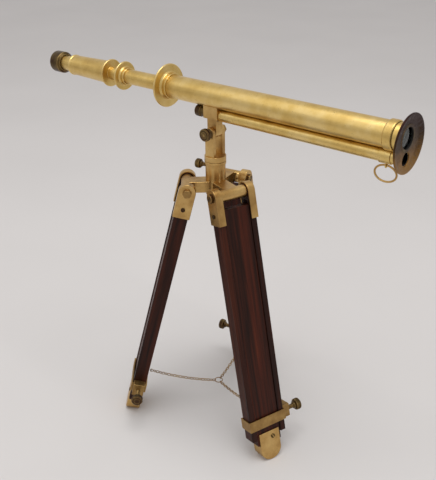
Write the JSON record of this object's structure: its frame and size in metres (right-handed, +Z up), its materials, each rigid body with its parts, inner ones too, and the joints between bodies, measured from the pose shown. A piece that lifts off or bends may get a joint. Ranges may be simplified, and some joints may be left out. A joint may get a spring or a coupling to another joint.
{
  "type": "telescope",
  "caption": "Table-top brass telescope with a finder barrel, on a tilting fork and a wooden tripod with sliding legs and spreader chains.",
  "frame": {"origin": "on the floor, where the stand's vertical axis meets it", "axes": "+X from the eyepiece to the objective with the telescope level, +Z up, +Y to the left of the telescope as seen from the eyepiece"},
  "size_m": [0.458, 0.2177, 0.4085],
  "materials": {
    "polished_brass": "polished and lacquered",
    "aged_brass": "handled and slightly dulled",
    "dark_rosewood": "dark stained, satin",
    "optical_glass": "polished"
  },
  "bodies": {
    "hub": {"hub": "polished_brass", "hub_finial": "aged_brass", "hinge_bolts": "aged_brass"},
    "fork": {"fork": "polished_brass", "tilt_nut": "polished_brass"},
    "pan_lock": {"pan_lock_screw": "aged_brass"},
    "tilt_bolt": {"tilt_bolt": "polished_brass"},
    "telescope": {"main_barrel": "polished_brass", "front_collar": "polished_brass", "front_dish": "aged_brass", "objective_cell": "polished_brass", "objective_crown": "optical_glass", "objective_flint": "optical_glass", "objective_ring": "polished_brass", "rear_flange": "polished_brass", "draw_guide": "polished_brass", "finder_barrel": "polished_brass", "finder_collar": "polished_brass", "finder_objective": "optical_glass", "saddle": "polished_brass"},
    "draw": {"draw_tube": "polished_brass", "draw_flange": "polished_brass", "draw_stop": "polished_brass", "erector_front": "optical_glass", "erector_rear": "optical_glass"},
    "eyepiece": {"eyepiece_barrel": "polished_brass", "eye_cup": "aged_brass", "field_lens": "optical_glass", "eye_lens": "optical_glass"},
    "finder_eyepiece": {"finder_eyepiece": "polished_brass"},
    "hanging_ring": {"hanging_ring": "aged_brass"},
    "leg_1": {"rail_left_1": "dark_rosewood", "rail_right_1": "dark_rosewood", "leg_caps_1": "aged_brass", "cap_screws_1": "aged_brass", "strap_1": "aged_brass"},
    "slider_1": {"slider_1": "dark_rosewood", "foot_1": "aged_brass"},
    "clamp_1": {"clamp_screw_1": "aged_brass"},
    "chain_1": {"chain_1": "aged_brass"},
    "leg_2": {"rail_left_2": "dark_rosewood", "rail_right_2": "dark_rosewood", "leg_caps_2": "aged_brass", "cap_screws_2": "aged_brass", "strap_2": "aged_brass"},
    "slider_2": {"slider_2": "dark_rosewood", "foot_2": "aged_brass"},
    "clamp_2": {"clamp_screw_2": "aged_brass"},
    "chain_2": {"chain_2": "aged_brass"},
    "leg_3": {"rail_left_3": "dark_rosewood", "rail_right_3": "dark_rosewood", "leg_caps_3": "aged_brass", "cap_screws_3": "aged_brass", "strap_3": "aged_brass"},
    "slider_3": {"slider_3": "dark_rosewood", "foot_3": "aged_brass"},
    "clamp_3": {"clamp_screw_3": "aged_brass"},
    "chain_3": {"chain_3": "aged_brass"},
    "chain_ring": {"chain_ring": "aged_brass"}
  },
  "joints": [
    {"name": "pan", "type": "hinge", "parent": "hub", "child": "fork", "pos_m": [0, 0, 0.318], "axis": [0, 0, 1], "continuous": true},
    {"name": "pan_lock_turn", "type": "hinge", "parent": "hub", "child": "pan_lock", "pos_m": [-0.01773, -0.00313, 0.311], "axis": [-0.9848, -0.1736, 0], "range_deg": [0, 360]},
    {"name": "tilt", "type": "hinge", "parent": "fork", "child": "telescope", "pos_m": [0, 0, 0.349], "axis": [0, 1, 0], "range_deg": [-45, 35]},
    {"name": "tilt_knob_turn", "type": "hinge", "parent": "fork", "child": "tilt_bolt", "pos_m": [0, -0.014, 0.349], "axis": [0, -1, 0], "range_deg": [0, 360]},
    {"name": "draw_slide", "type": "slide", "parent": "telescope", "child": "draw", "axis": [-1, 0, 0], "range_m": [-0.056, 0.014]},
    {"name": "eyepiece_slide", "type": "slide", "parent": "draw", "child": "eyepiece", "axis": [-1, 0, 0], "range_m": [-0.018, 0.01]},
    {"name": "finder_focus", "type": "slide", "parent": "telescope", "child": "finder_eyepiece", "axis": [-1, 0, 0], "range_m": [-0.0035, 0.006]},
    {"name": "ring_swing", "type": "hinge", "parent": "telescope", "child": "hanging_ring", "pos_m": [0.192, 0, 0.3585], "axis": [1, 0, 0], "range_deg": [-75, 75]},
    {"name": "leg_1_fold", "type": "hinge", "parent": "hub", "child": "leg_1", "pos_m": [0.02853, -0.00927, 0.291], "axis": [0.309, 0.9511, 0], "range_deg": [0, 15], "deforming": ["chain_1"]},
    {"name": "slider_1_slide", "type": "slide", "parent": "leg_1", "child": "slider_1", "axis": [0.2433, -0.079, -0.9667], "range_m": [0, 0.15]},
    {"name": "clamp_1_turn", "type": "hinge", "parent": "leg_1", "child": "clamp_1", "pos_m": [0.10472, 0.01329, 0.04352], "axis": [0.309, 0.9511, 0], "range_deg": [0, 360]},
    {"name": "chain_1_hang", "type": "hinge", "parent": "leg_1", "child": "chain_1", "pos_m": [0.07762, -0.02522, 0.05019], "axis": [0.309, 0.9511, 0], "range_deg": [-88, 0]},
    {"name": "leg_2_fold", "type": "hinge", "parent": "hub", "child": "leg_2", "pos_m": [-0.00624, 0.02934, 0.291], "axis": [-0.9781, -0.2079, 0], "range_deg": [0, 15], "deforming": ["chain_2"]},
    {"name": "slider_2_slide", "type": "slide", "parent": "leg_2", "child": "slider_2", "axis": [-0.0532, 0.2502, -0.9667], "range_m": [0, 0.15]},
    {"name": "clamp_2_turn", "type": "hinge", "parent": "leg_2", "child": "clamp_2", "pos_m": [-0.06387, 0.08404, 0.04352], "axis": [-0.9781, -0.2079, 0], "range_deg": [0, 360]},
    {"name": "chain_2_hang", "type": "hinge", "parent": "leg_2", "child": "chain_2", "pos_m": [-0.01697, 0.07983, 0.05019], "axis": [-0.9781, -0.2079, 0], "range_deg": [-88, 0]},
    {"name": "leg_3_fold", "type": "hinge", "parent": "hub", "child": "leg_3", "pos_m": [-0.02229, -0.02007, 0.291], "axis": [0.6691, -0.7431, 0], "range_deg": [0, 15], "deforming": ["chain_3"]},
    {"name": "slider_3_slide", "type": "slide", "parent": "leg_3", "child": "slider_3", "axis": [-0.1901, -0.1712, -0.9667], "range_m": [0, 0.15]},
    {"name": "clamp_3_turn", "type": "hinge", "parent": "leg_3", "child": "clamp_3", "pos_m": [-0.04085, -0.09733, 0.04352], "axis": [0.6691, -0.7431, 0], "range_deg": [0, 360]},
    {"name": "chain_3_hang", "type": "hinge", "parent": "leg_3", "child": "chain_3", "pos_m": [-0.06065, -0.05461, 0.05019], "axis": [0.6691, -0.7431, 0], "range_deg": [-88, 0]},
    {"name": "chain_ring_drop", "type": "slide", "parent": "hub", "child": "chain_ring", "axis": [0, 0, -1], "range_m": [0, 0.078]}
  ],
  "couplings": [
    {"joint": "chain_1_hang", "follows": "leg_1_fold", "ratio": -5.7333},
    {"joint": "chain_2_hang", "follows": "leg_1_fold", "ratio": -5.7333},
    {"joint": "leg_2_fold", "follows": "leg_1_fold", "ratio": 1},
    {"joint": "chain_3_hang", "follows": "leg_1_fold", "ratio": -5.7333},
    {"joint": "leg_3_fold", "follows": "leg_1_fold", "ratio": 1},
    {"joint": "chain_ring_drop", "follows": "leg_1_fold", "m_per_rad": 0.288}
  ]
}
